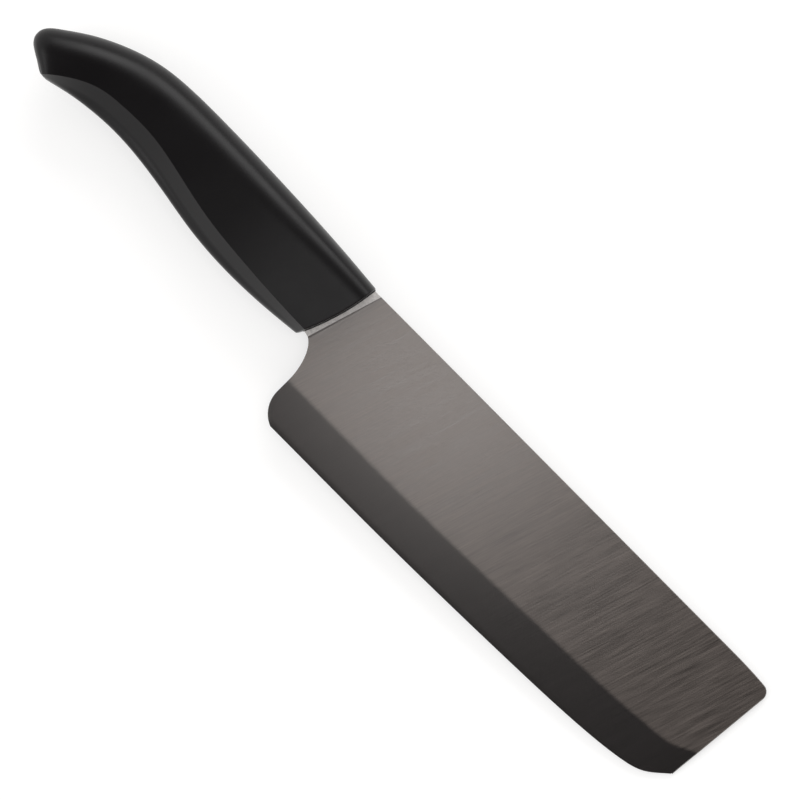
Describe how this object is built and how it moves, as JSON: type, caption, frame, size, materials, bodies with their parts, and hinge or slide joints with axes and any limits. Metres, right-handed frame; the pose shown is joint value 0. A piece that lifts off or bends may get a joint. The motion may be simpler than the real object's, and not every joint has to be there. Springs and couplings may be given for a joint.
{
  "type": "nakiri knife",
  "caption": "Vegetable knife with a straight-edged ground ceramic blade and a curved moulded two-shell handle.",
  "frame": {"origin": "centre of the bounding box, at the height of the left-hand shell's lowest point", "axes": "+X from the handle to the blade's tip, +Y out of the spine, +Z out of the right-hand face of the blade; the blade's middle plane is level"},
  "size_m": [0.2634, 0.0488, 0.0185],
  "materials": {
    "blade_ceramic": null,
    "handle_plastic": "black moulded ABS, smooth satin",
    "bond_resin": "cured clear epoxy, slightly amber",
    "seal_rubber": "black food-safe silicone, smooth"
  },
  "bodies": {
    "root": {"blade": "blade_ceramic", "handle_shell_right": "handle_plastic", "handle_shell_left": "handle_plastic", "tang_bond": "bond_resin", "throat_seal": "seal_rubber", "seam_bond_top": "bond_resin", "seam_bond_bottom": "bond_resin"}
  },
  "joints": []
}
